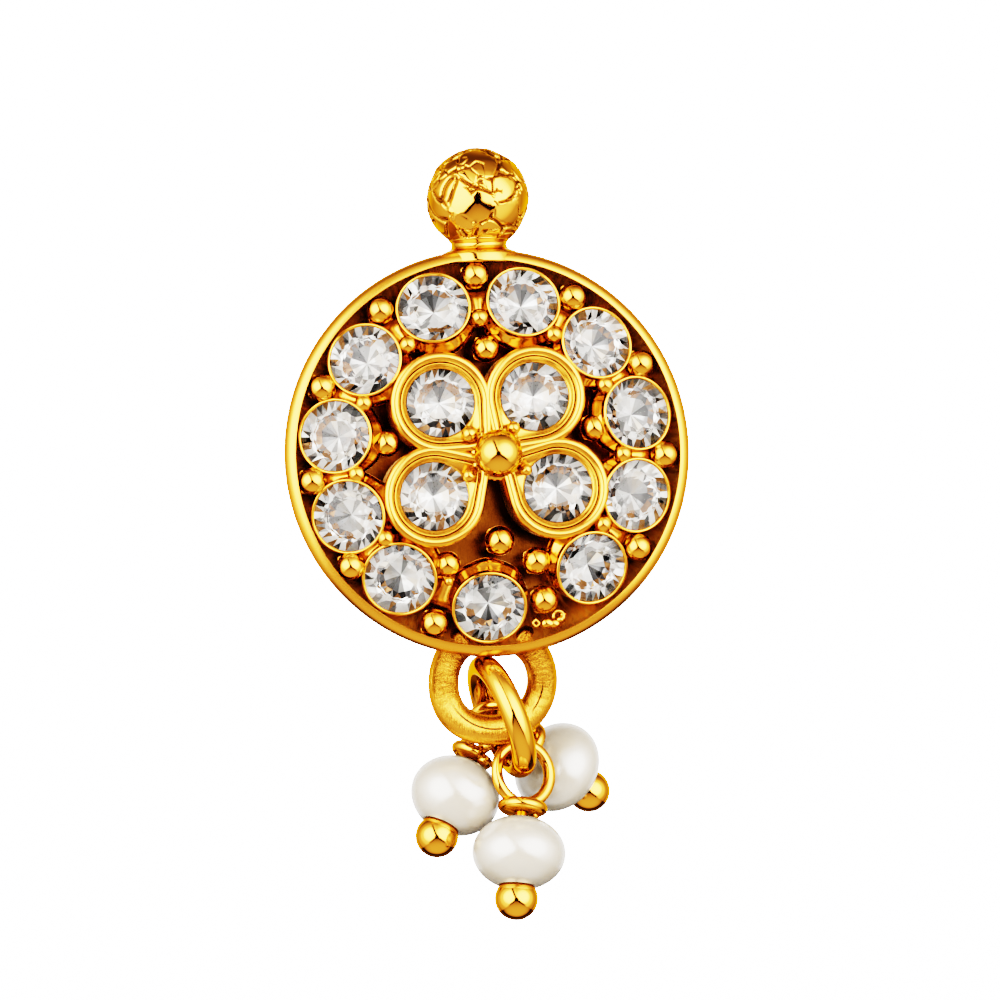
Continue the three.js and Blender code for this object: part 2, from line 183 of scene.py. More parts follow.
def on_circle(angle, radius):
    return radius * math.cos(math.radians(angle)), radius * math.sin(math.radians(angle))


def clamped(value):
    return min(max(value, 0.0), 1.0)


def arc(x, y, radius, start, end, steps):
    """Points on an arc, in degrees from start to end."""
    angles = np.radians(np.linspace(start, end, steps + 1))
    return [(x + radius * math.cos(a), y + radius * math.sin(a)) for a in angles]


def rounded(points, reach, steps=3):
    """The same line with each inner corner rounded off over up to reach on both sides."""
    points = [np.array(p, float) for p in points]
    result = [tuple(points[0])]
    for before, corner, after in zip(points, points[1:], points[2:]):
        back, on = before - corner, after - corner
        a = corner + back * min(reach / np.linalg.norm(back), 0.45)
        b = corner + on * min(reach / np.linalg.norm(on), 0.45)
        for t in np.linspace(0, 1, steps + 1):
            result.append(tuple((1 - t) ** 2 * a + 2 * t * (1 - t) * corner + t * t * b))
    return result + [tuple(points[-1])]


class Shape:
    """The corners and faces of one piece, gathered in millimetres."""

    def __init__(self):
        self.points = []
        self.faces = []
        self.finishes = []

    def add(self, points, faces, place=None, finish=0):
        start = len(self.points)
        place = place or Matrix.Identity(4)
        self.points += [place @ Vector(p) for p in points]
        self.faces += [tuple(start + i for i in face) for face in faces]
        self.finishes += [finish] * len(faces)
        return self

    def object(self, name, materials, crease=35):
        """Makes the piece in metres, smooth but for edges sharper than crease."""
        mesh = bpy.data.meshes.new(name)
        mesh.from_pydata([FACE @ p for p in self.points], [], self.faces)
        for material in materials:
            mesh.materials.append(material)
        mesh.polygons.foreach_set("material_index", self.finishes)
        mesh.polygons.foreach_set("use_smooth", [crease > 0] * len(self.faces))
        if crease > 0:
            mesh.set_sharp_from_angle(angle=math.radians(crease))
        mesh.validate()
        piece = bpy.data.objects.new(name, mesh)
        bpy.context.scene.collection.objects.link(piece)
        return piece


def lathe(rows, sides, wobble=None, closed=False):
    """Turns rows of (radius, height) round z. wobble(angle, radius, height) gives a new radius.
    A row on the axis closes the form there. closed joins the last row to the first instead."""
    points, faces, rings = [], [], []
    for radius, height in rows:
        if radius < 1e-6:
            rings.append([len(points)])
            points.append((0.0, 0.0, height))
            continue
        ring = []
        for i in range(sides):
            angle = 2 * math.pi * i / sides
            reach = wobble(angle, radius, height) if wobble else radius
            ring.append(len(points))
            points.append((reach * math.cos(angle), reach * math.sin(angle), height))
        rings.append(ring)
    pairs = list(zip(rings, rings[1:]))
    if closed:
        pairs.append((rings[-1], rings[0]))
    for low, high in pairs:
        for i in range(sides):
            j = (i + 1) % sides
            if len(low) == 1 and len(high) == 1:
                break
            if len(low) == 1:
                faces.append((low[0], high[j], high[i]))
            elif len(high) == 1:
                faces.append((low[i], low[j], high[0]))
            else:
                faces.append((low[i], low[j], high[j], high[i]))
    return points, faces


def tube(path, radii, sides=16, closed=False):
    """A round wire along a path, with rounded ends unless closed."""
    path = np.array(path, float)
    count = len(path)
    radii = np.broadcast_to(np.array(radii, float), (count,))
    if closed:
        ways = np.roll(path, -1, 0) - np.roll(path, 1, 0)
    else:
        ways = np.gradient(path, axis=0)
    ways /= np.linalg.norm(ways, axis=1)[:, None]
    side = np.cross(ways[0], (0.31, 0.22, 0.92))
    side /= np.linalg.norm(side)
    sides_along = []
    for way in ways:
        side = side - way * (side @ way)
        side /= np.linalg.norm(side)
        sides_along.append(side)
    angles = np.linspace(0, 2 * math.pi, sides, endpoint=False)
    twist = 0.0
    if closed:  # the last frame is brought round to meet the first
        last = sides_along[-1]
        up = np.cross(ways[0], sides_along[0])
        twist = math.atan2(last @ up, last @ sides_along[0])
    rings, points = [], []

    def ring(centre, side, way, radius, spin):
        rest = np.cross(way, side)
        start = len(points)
        for a in angles + spin:
            points.append(tuple(centre + radius * (math.cos(a) * side + math.sin(a) * rest)))
        rings.append(list(range(start, start + sides)))

    caps = () if closed else (80, 55, 28)
    for step in caps:
        lift, reach = math.sin(math.radians(step)), math.cos(math.radians(step))
        ring(path[0] - ways[0] * radii[0] * lift * 0.6, sides_along[0], ways[0], radii[0] * reach, 0)
    for i in range(count):
        ring(path[i], sides_along[i], ways[i], radii[i], -twist * i / count)
    for step in reversed(caps):
        lift, reach = math.sin(math.radians(step)), math.cos(math.radians(step))
        ring(path[-1] + ways[-1] * radii[-1] * lift * 0.6, sides_along[-1], ways[-1], radii[-1] * reach, 0)
    pairs = list(zip(rings, rings[1:]))
    if closed:
        pairs.append((rings[-1], rings[0]))
    faces = []
    for low, high in pairs:
        for i in range(sides):
            j = (i + 1) % sides
            faces.append((low[i], low[j], high[j], high[i]))
    if not closed:
        faces.append(tuple(reversed(rings[0])))
        faces.append(tuple(rings[-1]))
    return points, faces


def ball_rows(radius, height, start, end, steps):
    rows = arc(0, height, radius, start, end, steps)
    if abs(end) == 90:
        rows[-1] = (0.0, rows[-1][1])
    return rows


def whole_ball(tip, steps, radius=1.0):
    """Rows of a ball round the origin, closed on the axis beyond tip degrees."""
    return [(0.0, -radius)] + arc(0, 0, radius, -tip, tip, steps) + [(0.0, radius)]


UPRIGHT = turned_by(-90, "X")  # turns what a lathe makes from facing the viewer to standing up


# Node tools

def socket_in(tree, node, name, value):
    """Feeds a value or another node's output into a socket."""
    target = node.inputs[name]
    if isinstance(value, bpy.types.NodeSocket):
        tree.links.new(value, target)
    elif value is not None:
        target.default_value = value


def feed(tree, node, **values):
    """Feeds each input that is named, with an underscore for a space in its name."""
    for name, value in values.items():
        socket_in(tree, node, name.replace("_", " "), value)


def new_node(tree, kind, settings=None, **inputs):
    node = tree.nodes.new(kind)
    for key, value in (settings or {}).items():
        setattr(node, key, value)
    feed(tree, node, **inputs)
    return node


def maths(tree, operation, *values):
    node = new_node(tree, "ShaderNodeMath", dict(operation=operation))
    for i, value in enumerate(values):
        socket_in(tree, node, i, value)
    return node.outputs[0]


def product(tree, first, *others):
    for other in others:
        first = maths(tree, "MULTIPLY", first, other)
    return first


def length_of(tree, a, b):
    """How far the point (a, b) lies from the origin."""
    return maths(tree, "SQRT", maths(tree, "ADD", maths(tree, "POWER", a, 2.0), maths(tree, "POWER", b, 2.0)))


def place_on_object(tree):
    """Where the surface lies on its object, as a vector and as its X, Y and Z."""
    place = new_node(tree, "ShaderNodeTexCoord").outputs["Object"]
    return place, new_node(tree, "ShaderNodeSeparateXYZ", Vector=place).outputs


def dot(tree, vector, fixed):
    node = new_node(tree, "ShaderNodeVectorMath", dict(operation="DOT_PRODUCT"))
    socket_in(tree, node, 0, vector)
    node.inputs[1].default_value = fixed
    return node.outputs["Value"]


def between(tree, value, low, high, low_to=0.0, high_to=1.0):
    """Maps low..high smoothly to low_to..high_to, flat beyond."""
    node = new_node(tree, "ShaderNodeMapRange", dict(interpolation_type="SMOOTHSTEP"), Value=value,
                    From_Min=low, From_Max=high, To_Min=low_to, To_Max=high_to)
    return node.outputs["Result"]


def blended(tree, share, a, b):
    node = new_node(tree, "ShaderNodeMix", dict(data_type="RGBA"))
    socket_in(tree, node, 0, share)
    socket_in(tree, node, 6, a)
    socket_in(tree, node, 7, b)
    return node.outputs[2]


def noise_of(tree, where, scale, detail=3.0, roughness=0.5, distortion=0.0):
    node = new_node(tree, "ShaderNodeTexNoise", Vector=where, Scale=scale, Detail=detail,
                    Roughness=roughness, Distortion=distortion)
    return node.outputs["Fac"]


def effect_group(name, inputs, outputs):
    """A shader node group with named sockets: (name, kind, default) in, (name, kind) out."""
    group = bpy.data.node_groups.new(name, "ShaderNodeTree")
    for label, kind, default in inputs:
        entry = group.interface.new_socket(label, in_out="INPUT", socket_type=kind)
        entry.default_value = default
    for label, kind in outputs:
        group.interface.new_socket(label, in_out="OUTPUT", socket_type=kind)
    return group, group.nodes.new("NodeGroupInput").outputs, group.nodes.new("NodeGroupOutput").inputs


def use_group(tree, group, **values):
    return new_node(tree, "ShaderNodeGroup", dict(node_tree=group), **values).outputs


def add_relief(tree, surface, height, strength, depth=0.00002):
    relief = new_node(tree, "ShaderNodeBump", Height=height, Strength=strength, Distance=depth)
    feed(tree, surface, Normal=relief.outputs["Normal"])


FLOAT, COLOUR = "NodeSocketFloat", "NodeSocketColor"


# Shared effects

def painted_recess_shade_effect():
    """Gold in its open colour near the top, turning to a browner, darker colour toward the cup's floor as
    painted shade, with a random mottle.
    """
    group, given, made = effect_group(
        "painted_recess_shade",
        [("Open Colour", COLOUR, (1, 0.7, 0.2, 1)), ("Deep Colour", COLOUR, (0.5, 0.2, 0.02, 1)),
         ("Floor Depth", FLOAT, -0.0006), ("Open Depth", FLOAT, -0.0019), ("Mottle", FLOAT, 0.15)],
        [("Colour", COLOUR), ("Depth Mask", FLOAT)])
    place, apart = place_on_object(group)
    radius = length_of(group, apart["X"], apart["Z"])
    inside = between(group, radius, DISC_RADIUS * 0.00094, DISC_RADIUS * 0.00088)
    span = maths(group, "SUBTRACT", given["Floor Depth"], given["Open Depth"])
    risen = maths(group, "DIVIDE", maths(group, "SUBTRACT", given["Floor Depth"], apart["Y"]), span)
    # painted shade: the share of the deep colour grows toward the cup's floor, inside the rim
    deep = product(group, between(group, risen, 0.0, 1.0, 1.0, 0.0), inside)
    cloud = noise_of(group, place, 1900.0, 4.0, 0.6)
    mottle = product(group, maths(group, "SUBTRACT", cloud, 0.5), given["Mottle"])
    share = maths(group, "MINIMUM", maths(group, "MAXIMUM", maths(group, "ADD", deep, mottle), 0.0), 1.0)
    group.links.new(blended(group, share, given["Open Colour"], given["Deep Colour"]), made["Colour"])
    group.links.new(deep, made["Depth Mask"])
    return group


def hand_polish_effect():
    """Soft unevenness and fine hairlines that a polishing wheel leaves in metal."""
    group, given, made = effect_group(
        "hand_polish",
        [("Roughness", FLOAT, 0.12), ("Cloud", FLOAT, 0.06), ("Hairline", FLOAT, 0.3),
         ("Grain Scale", FLOAT, 900.0)],
        [("Roughness", FLOAT), ("Height", FLOAT)])
    place, _ = place_on_object(group)
    cloud = noise_of(group, place, given["Grain Scale"], 3.0, 0.55)
    stretched = new_node(group, "ShaderNodeMapping", Vector=place, Scale=(14.0, 1.5, 1.5),
                         Rotation=(0.3, 0.9, 0.5))
    lines = noise_of(group, stretched.outputs["Vector"], 2600.0, 2.0, 0.7)
    uneven = maths(group, "SUBTRACT", cloud, 0.5)
    rough = maths(group, "MULTIPLY_ADD", uneven, given["Cloud"], given["Roughness"])
    group.links.new(rough, made["Roughness"])
    group.links.new(maths(group, "MULTIPLY_ADD", lines, given["Hairline"], cloud), made["Height"])
    return group


# Materials

def plain_material(name):
    material = bpy.data.materials.new(name)
    material.use_nodes = True
    tree = material.node_tree
    return material, tree, tree.nodes["Principled BSDF"]


def paler_when_mirrored(tree, colour):
    """Gold mirrored in more gold would turn red, so all but the first look at it is paler."""
    seen = new_node(tree, "ShaderNodeLightPath").outputs["Is Camera Ray"]
    return blended(tree, seen, (*GOLD_MIRRORED, 1), colour)


def gold_material(name, open_colour, painted_shade_colour, roughness, bump, hairline=0.3, cloud=0.05, grain=900.0):
    material, tree, surface = plain_material(name)
    # the deep colour is painted shade, laid on toward the cup's floor
    tone = use_group(tree, PAINTED_RECESS_SHADE, Open_Colour=(*open_colour, 1), Deep_Colour=(*painted_shade_colour, 1))
    polish = use_group(tree, HAND_POLISH, Roughness=roughness, Cloud=cloud, Hairline=hairline,
                       Grain_Scale=grain)
    feed(tree, surface, Base_Color=paler_when_mirrored(tree, tone["Colour"]), Roughness=polish["Roughness"],
         Metallic=1.0, Specular_Tint=GOLD_EDGE)
    add_relief(tree, surface, polish["Height"], bump)
    return material


def painted_seam_reflection(tree, angle, reach, apart):
    """A fine dark line painted along the middle of the half loop's wire, in front on both of its lower bends:
    a painted reflection of the light tent's dark seam.
    """
    off_middle = maths(tree, "ABSOLUTE", maths(tree, "SUBTRACT", reach, HALF_LOOP_RADIUS * 0.001))
    line = between(tree, off_middle, 0.000012, 0.00004, 1.0, 0.0)
    left = product(tree, between(tree, angle, -3.0, -2.3), between(tree, angle, -1.5, -1.3, 1.0, 0.0))
    right = product(tree, between(tree, angle, -0.8, -0.6), between(tree, angle, -0.3, 0.1, 1.0, 0.0))
    return product(tree, line, maths(tree, "ADD", left, right), between(tree, apart["Y"], -0.0011, -0.0012))


def brushed_gold_material():
    """The half loop's gold: polished sides, short scratches across the arms' front, and a fine dark line that
    is a painted reflection of the light tent's dark seam.
    """
    material, tree, surface = plain_material("brushed_gold")
    tone = use_group(tree, PAINTED_RECESS_SHADE, Open_Colour=(*GOLD, 1), Deep_Colour=(*GOLD_PAINTED_SHADE, 1))
    polish = use_group(tree, HAND_POLISH, Roughness=0.12, Cloud=0.05, Hairline=0.3, Grain_Scale=900.0)
    place, apart = place_on_object(tree)
    lift = maths(tree, "SUBTRACT", apart["Z"], HALF_LOOP_Y * 0.001)
    angle = maths(tree, "ARCTAN2", lift, apart["X"])
    reach = length_of(tree, apart["X"], lift)
    polar = new_node(tree, "ShaderNodeCombineXYZ",
                     X=product(tree, angle, 0.0085), Y=product(tree, reach, 1.2))
    scratches = noise_of(tree, polar.outputs["Vector"], 2200.0, 4.0, 0.75, 0.4)
    patch = noise_of(tree, place, 700.0, 2.0, 0.6)
    front = between(tree, apart["Y"], -0.00122, -0.00138)
    arms = between(tree, apart["Z"], (HALF_LOOP_Y - 0.7) * 0.001, (HALF_LOOP_Y - 0.1) * 0.001)
    worn = product(tree, front, arms, between(tree, patch, 0.33, 0.5))
    strokes = product(tree, worn, between(tree, scratches, 0.5, 0.6), 0.55)
    marked = blended(tree, strokes, tone["Colour"], (0.3, 0.1, 0.012, 1))
    # painted reflection: a near-black line where the tent's dark seam would be mirrored
    marked = blended(tree, painted_seam_reflection(tree, angle, reach, apart), marked, (0.01, 0.004, 0.001, 1))
    feed(tree, surface, Base_Color=paler_when_mirrored(tree, marked), Metallic=1.0, Specular_Tint=GOLD_EDGE,
         Roughness=maths(tree, "MULTIPLY_ADD", worn, 0.14, polish["Roughness"]))
    height = maths(tree, "MULTIPLY_ADD", product(tree, scratches, worn), 2.2, polish["Height"])
    add_relief(tree, surface, height, 1.0, 0.00007)
    return material


def crystal_material():
    """The clear crown of a cut stone."""
    material, tree, surface = plain_material("crystal_crown")
    feed(tree, surface, Base_Color=(0.985, 0.98, 0.965, 1), Roughness=0.0, IOR=1.42, Transmission_Weight=1.0)
    return material


def painted_reflection_back(name, colour):
    """One tone of a cut stone's silvered back, seen through its crown: a painted reflection standing in for
    the stone's sparkle.
    """
    material, tree, surface = plain_material(name)
    feed(tree, surface, Base_Color=(*colour, 1), Metallic=0.6, Roughness=0.14)
    return material


def pearl_material():
    """Warm white pearl with a soft lustre and faint growth bands."""
    material, tree, surface = plain_material("pearl_lustre")
    place, _ = place_on_object(tree)
    cloud = noise_of(tree, place, 420.0, 3.0, 0.5, 0.6)
    fine = noise_of(tree, place, 5200.0, 4.0, 0.6)
    feed(tree, surface, Base_Color=blended(tree, cloud, (0.38, 0.305, 0.22, 1), (0.44, 0.39, 0.31, 1)),
         Roughness=maths(tree, "MULTIPLY_ADD", fine, 0.1, 0.2), IOR=1.75,
         Subsurface_Weight=0.25, Subsurface_Radius=(0.0009, 0.0007, 0.0005), Subsurface_Scale=1.0,
         Coat_Weight=1.0, Coat_IOR=2.1, Coat_Roughness=0.22)
    add_relief(tree, surface, fine, 0.06)
    return material


GOLD = (0.97, 0.325, 0.048)
# the brown of the painted shade toward the cup's floor
GOLD_PAINTED_SHADE = (0.45, 0.18, 0.028)
GOLD_MIRRORED = (0.42, 0.3, 0.16)
GOLD_EDGE = (0.95, 0.6, 0.27, 1)  # the tint at the edges of round forms
PAINTED_RECESS_SHADE = painted_recess_shade_effect()
HAND_POLISH = hand_polish_effect()
POLISHED_GOLD = gold_material("polished_gold", GOLD, GOLD_PAINTED_SHADE, 0.09, 0.1)
# the cup's floor is painted almost black with shade toward the bottom
CUP_GOLD = gold_material("cup_gold", GOLD, (0.045, 0.013, 0.002), 0.18, 0.22, 0.5, 0.08, 1300.0)
PETAL_GOLD = gold_material("petal_gold", GOLD, GOLD_PAINTED_SHADE, 0.19, 0.15)
LIP_GOLD = gold_material("lip_gold", GOLD, GOLD_PAINTED_SHADE, 0.26, 0.12, 0.4)
# the scraped wall darkens toward the floor with painted shade
WALL_GOLD = gold_material("wall_gold", (0.97, 0.36, 0.05), (0.3, 0.09, 0.012), 0.45, 0.3, 0.6, 0.1, 1500.0)
# dark gold painted into the top ball's cracks as shade in the crevices
CRACK_SHADE_GOLD = gold_material("crack_shade_gold", (0.16, 0.05, 0.006), (0.16, 0.05, 0.006), 0.4, 0.1)
WIRE_GOLD = gold_material("wire_gold", GOLD, GOLD, 0.09, 0.1)
SATIN_GOLD = gold_material("satin_gold", GOLD, GOLD_PAINTED_SHADE, 0.24, 0.25, 0.6, 0.1, 1500.0)
CRINKLED_GOLD = gold_material("crinkled_gold", GOLD, GOLD_PAINTED_SHADE, 0.07, 0.08)
BRUSHED_GOLD = brushed_gold_material()
CRYSTAL = crystal_material()
# painted reflections for the stones' backs: white, pale, grey and dark for the studio, tan for the gold round
# the stone
PAINTED_BACK_REFLECTIONS = [
    painted_reflection_back("white_back_reflection", (0.92, 0.92, 0.91)),
    painted_reflection_back("pale_back_reflection", (0.34, 0.34, 0.34)),
    painted_reflection_back("grey_back_reflection", (0.08, 0.08, 0.083)),
    painted_reflection_back("dark_back_reflection", (0.01, 0.009, 0.008)),
    painted_reflection_back("tan_back_reflection", (0.25, 0.115, 0.04)),
]
PEARL = pearl_material()


# Pieces of the head

def stands_in(piece, slot, *nodes):
    """Hangs the piece on the pin's root and hides the nodes it stands for; slot is not used."""
    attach(piece, "root")
    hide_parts(*nodes)


def on_head(shape, name, finishes, crease=50):
    """Makes a piece of the soldered head."""
    stands_in(shape.object(name, finishes, crease), "polished_gold", "setting_head")


def cup():
    """A shallow cup whose lip leans outward, with a step under it and a scraped fillet round the floor."""
    reach = DISC_RADIUS + LIP_OVERHANG
    wall = reach - LIP_WIDTH
    lean = math.radians(LIP_LEAN)
    bend = LIP_WIDTH / (1 - math.sin(lean))
    lip = [(reach - bend * (1 - math.sin(a)), RIM_HEIGHT - bend * (math.cos(lean) - math.cos(a)))
           for a in np.linspace(math.radians(88), lean, 15)]
    outside = rounded([(0, 0), (DISC_RADIUS - 0.16, 0), (DISC_RADIUS - 0.06, 0.2),
                       (DISC_RADIUS + 0.03, 1.3), lip[0]], 0.12, 4)
    edge = rounded([lip[-1], (wall - 0.012, RIM_HEIGHT - 0.01), (wall, RIM_HEIGHT - 0.19),
                    (wall + 0.06, RIM_HEIGHT - 0.25)], 0.02, 2)
    fillet = rounded([edge[-1], (wall + 0.03, 1.6), (wall - 0.07, 1.42), (wall - 0.4, 1.1),
                      (wall - 0.95, 0.75), (wall - 1.5, PLATE_THICKNESS + 0.02)], 0.16, 4)
    floor = [fillet[-1], (wall - 1.7, PLATE_THICKNESS), (0, PLATE_THICKNESS)]

    def scraped(angle, radius, height):
        depth = clamped((RIM_HEIGHT - 0.28 - height) / 0.2)
        marks = 0.03 * math.sin(64 * angle) * math.sin(11 * angle) + 0.02 * math.sin(149 * angle)
        return radius + depth * marks

    shape = Shape().add(*lathe(outside[:-1] + lip + edge[1:], 480), finish=2)
    shape.add(*lathe(fillet, 640, scraped), finish=1)
    shape.add(*lathe(floor, 240))
    on_head(shape, "cup", [CUP_GOLD, WALL_GOLD, LIP_GOLD])


def post():
    rows = ball_rows(POST_RADIUS, 0, 0, 90, 8)
    rows = [(r, POST_LENGTH - POST_RADIUS + h) for r, h in rows]
    rows = rounded([(0, -0.2), (POST_RADIUS + 0.16, -0.2), (POST_RADIUS + 0.14, 0.03),
                    (POST_RADIUS, 0.22), (POST_RADIUS, 1.0)], 0.08, 3) + rows
    shape = Shape().add(*lathe(rows, 40), turned_by(180, "X"))
    on_head(shape, "nose_post", [WIRE_GOLD], 35)


def outer_seat(angle):
    """An outer stone's place: its girdle's middle at the origin, its table toward +z."""
    return (turned_by(angle, "Z") @ moved(OUTER_PITCH_RADIUS, 0, OUTER_GIRDLE_HEIGHT)
            @ turned_by(OUTER_TILT, "Y"))


def petal_seat(petal):
    return moved(petal["x"], petal["y"], PETAL_HEIGHT - GIRDLE_HEIGHT - CROWN_HEIGHT / 2)


def collets():
    """Thin-lipped cups with upright walls that draw in near the floor, a little flattened by hand."""
    foot = (PLATE_THICKNESS - OUTER_GIRDLE_HEIGHT) / math.cos(math.radians(OUTER_TILT))
    thick = 0.048
    lip = arc(COLLET_LIP_RADIUS - thick, COLLET_LIP_HEIGHT - thick, thick, -10, 180, 9)
    outside = rounded([(0.7, foot), (0.98, foot + 0.3), (COLLET_BELLY_RADIUS - 0.03, -0.8),
                       (COLLET_BELLY_RADIUS, -0.5), (COLLET_BELLY_RADIUS - 0.05, -0.26),
                       (COLLET_LIP_RADIUS + 0.005, -0.08), lip[0]], 0.12, 4)
    inside = [(COLLET_LIP_RADIUS - 0.096, -0.02), (0.98, -0.16), (0.3, -0.78), (0, -0.82)]
    rows = [(0, foot)] + outside[:-1] + lip + inside
    shape = Shape()
    for stone in OUTER_STONES:
        phase, flats = chance.uniform(0, 6.28), chance.choice((9, 11, 12))

        def flattened(angle, radius, height, phase=phase, flats=flats):
            if radius < COLLET_LIP_RADIUS - 0.06 and height > -0.9:
                return radius
            share = clamped((-height - 0.06) / 0.28)
            flare = COLLET_FLARE * share * max(-math.cos(angle), 0.0) * clamped((height + 1.1) / 0.5)
            return radius * (1 + 0.014 * share * math.cos(flats * angle + phase)) + flare

        shape.add(*lathe(rows, 96, flattened), outer_seat(stone["angle"]))
    on_head(shape, "outer_collets", [POLISHED_GOLD])


def stone_gaps():
    """Each gap between neighbouring outer stones: its middle angle, its width and the stone before it."""
    for i, stone in enumerate(OUTER_STONES):
        after = OUTER_STONES[i + 1]["angle"] if i + 1 < len(OUTER_STONES) else OUTER_STONES[0]["angle"] - 360
        yield (stone["angle"] + after) / 2, stone["angle"] - after, stone


def bridges():
    """Saddles of solder that join neighbouring collets, from the large granule in to the small one."""
    shape = Shape()
    across, along = 18, 20
    lean = math.radians(OUTER_TILT)
    for angle, width, stone in stone_gaps():
        if stone["outer"] != "rim":
            continue
        half_way = math.radians(width / 2)
        seat_x, seat_y = OUTER_PITCH_RADIUS * math.cos(half_way), OUTER_PITCH_RADIUS * math.sin(half_way)
        sunk = BRIDGE_SAG + max(width - 31, 0) * 0.05
        points = []
        for t in np.linspace(-1, 1, along + 1):
            x = seat_x - 0.06 + 0.56 * t
            inside = max(1 - ((x - seat_x) / (COLLET_LIP_RADIUS * math.cos(lean))) ** 2, 0.0)
            reach = seat_y - (COLLET_LIP_RADIUS - 0.02) * math.sqrt(inside) + 0.07
            edge = OUTER_GIRDLE_HEIGHT + 0.02 - (x - seat_x) * math.tan(lean)
            for s in np.linspace(-1, 1, across + 1):
                points.append((x, reach * s, edge - sunk * (1 - s * s) - 0.12 * t ** 4))
        top = len(points)
        points += [(x, y, PLATE_THICKNESS + 0.1) for x, y, _ in points]
        row = across + 1
        faces = []
        for j in range(along):
            for i in range(across):
                a = j * row + i
                faces.append((a, a + row, a + row + 1, a + 1))
                faces.append((top + a, top + a + 1, top + a + row + 1, top + a + row))
        edge = ([i for i in range(across)] + [j * row + across for j in range(along)]
                + [along * row + i for i in range(across, 0, -1)] + [j * row for j in range(along, 0, -1)])
        for a, b in zip(edge, edge[1:] + edge[:1]):
            faces.append((a, b, top + b, top + a))
        shape.add(points, faces, turned_by(angle, "Z"))
    on_head(shape, "collet_bridges", [SATIN_GOLD], 60)


def add_granule(shape, x, y, height, radius, sides=36, base=True):
    """A ball on a stem. A little square claw cup holds it, with corners that just show past the ball."""
    stem = radius * 0.62
    rows = [(0, PLATE_THICKNESS - 0.1), (stem, PLATE_THICKNESS - 0.1)]
    rows += ball_rows(radius, height, -math.degrees(math.acos(0.62)), 90, 16)
    shape.add(*lathe(rows, sides), moved(x, y))
    if not base:
        return
    level = height - radius * 0.5
    rows = rounded([(0, level - radius * 0.8), (stem * 0.9, level - radius * 0.8),
                    (radius * 0.92, level - radius * 0.1), (radius * 0.97, level + radius * 0.05),
                    (radius * 0.88, level + radius * 0.09), (0, level - radius * 0.1)], radius * 0.07, 2)
    spin = chance.uniform(-0.3, 0.3)

    def clawed(angle, reach, height):
        corner = abs(math.cos(2 * (angle - spin) + math.pi / 2)) ** 10
        return reach * (1 + 0.14 * corner * min(reach / radius, 1.0) ** 2)

    shape.add(*lathe(rows, 48, clawed), moved(x, y))


def granules():
    large, small = Shape(), Shape()
    for angle, width, stone in stone_gaps():
        pitch = INSET_GRANULE_PITCH if stone["outer"] == "inset" else OUTER_GRANULE_PITCH
        add_granule(large, *on_circle(angle, pitch), OUTER_GRANULE_HEIGHT, OUTER_GRANULE_RADIUS, 48)
        if stone["small"] > 0:
            add_granule(small, *on_circle(angle, SMALL_GRANULE_PITCH), SMALL_GRANULE_HEIGHT,
                        SMALL_GRANULE_RADIUS * stone["small"])
    inner = Shape()
    for ball in INNER_GRANULES:
        add_granule(inner, *on_circle(ball["angle"], ball["pitch"]), INNER_GRANULE_HEIGHT, ball["radius"], 48)
    for ball in ROOT_GRANULES:
        add_granule(small, ball["x"], ball["y"], ROOT_GRANULE_HEIGHT, ball["radius"], 36, False)
    for name, shape in (("rim_granules", large), ("small_granules", small), ("inner_granules", inner)):
        on_head(shape, name, [POLISHED_GOLD])


def teardrop_reach(angle):
    """The distance of a petal's outline from its stone's centre, as a share of its round end's radius."""
    touch = math.acos(1 / PETAL_POINT_SHARE)
    off = abs((angle + math.pi) % (2 * math.pi) - math.pi)
    blunt = 0.09  # the point is rounded a little
    off = math.sqrt(off * off + blunt * blunt)
    return 1 / math.cos(max(0.0, touch - off))


def petals():
    """Teardrop cups: a half-round wire on the wall, a thin inner lip, and a slope down to the stone."""
    ridge = arc(PETAL_RADIUS - 0.152, PETAL_HEIGHT - 0.152, 0.152, 0, 180, 14)
    stone = PETAL_STONE_RADIUS
    inner_lip = arc(1.18, PETAL_HEIGHT - 0.145, 0.026, 0, 180, 5)
    drop_rows = [(PETAL_RADIUS - 0.06, PLATE_THICKNESS), (PETAL_RADIUS - 0.03, 1.5)] + ridge
    drop_rows += [(1.218, PETAL_HEIGHT - 0.26)] + inner_lip
    round_rows = [(stone + 0.115, PETAL_HEIGHT - 0.165, 0.2), (stone + 0.08, PETAL_HEIGHT - 0.2, 0.5),
                  (stone + 0.045, PETAL_HEIGHT - 0.22, 0.8), (stone + 0.012, PETAL_HEIGHT - 0.23, 1.0),
                  (stone - 0.01, PETAL_HEIGHT - 0.26, 1.0), (stone - 0.1, PETAL_HEIGHT - 0.4, 1.0),
                  (0, PETAL_HEIGHT - 0.98, 1.0)]
    rows = [(0, PLATE_THICKNESS, 0.0)] + [(r, h, 0.0) for r, h in drop_rows] + round_rows
    rounding = {round(height, 6): share for _, height, share in rows}

    def outline(angle, radius, height):
        share = rounding.get(round(height, 6), 0.0)
        return radius * (share + (1 - share) * teardrop_reach(angle))

    shape = Shape()
    for petal in PETALS:
        aim = math.degrees(math.atan2(CENTRE[1] - petal["y"], CENTRE[0] - petal["x"]))
        shape.add(*lathe([(r, h) for r, h, _ in rows], 240, outline),
                  moved(petal["x"], petal["y"]) @ turned_by(aim, "Z"))
    on_head(shape, "petal_cups", [PETAL_GOLD], 55)


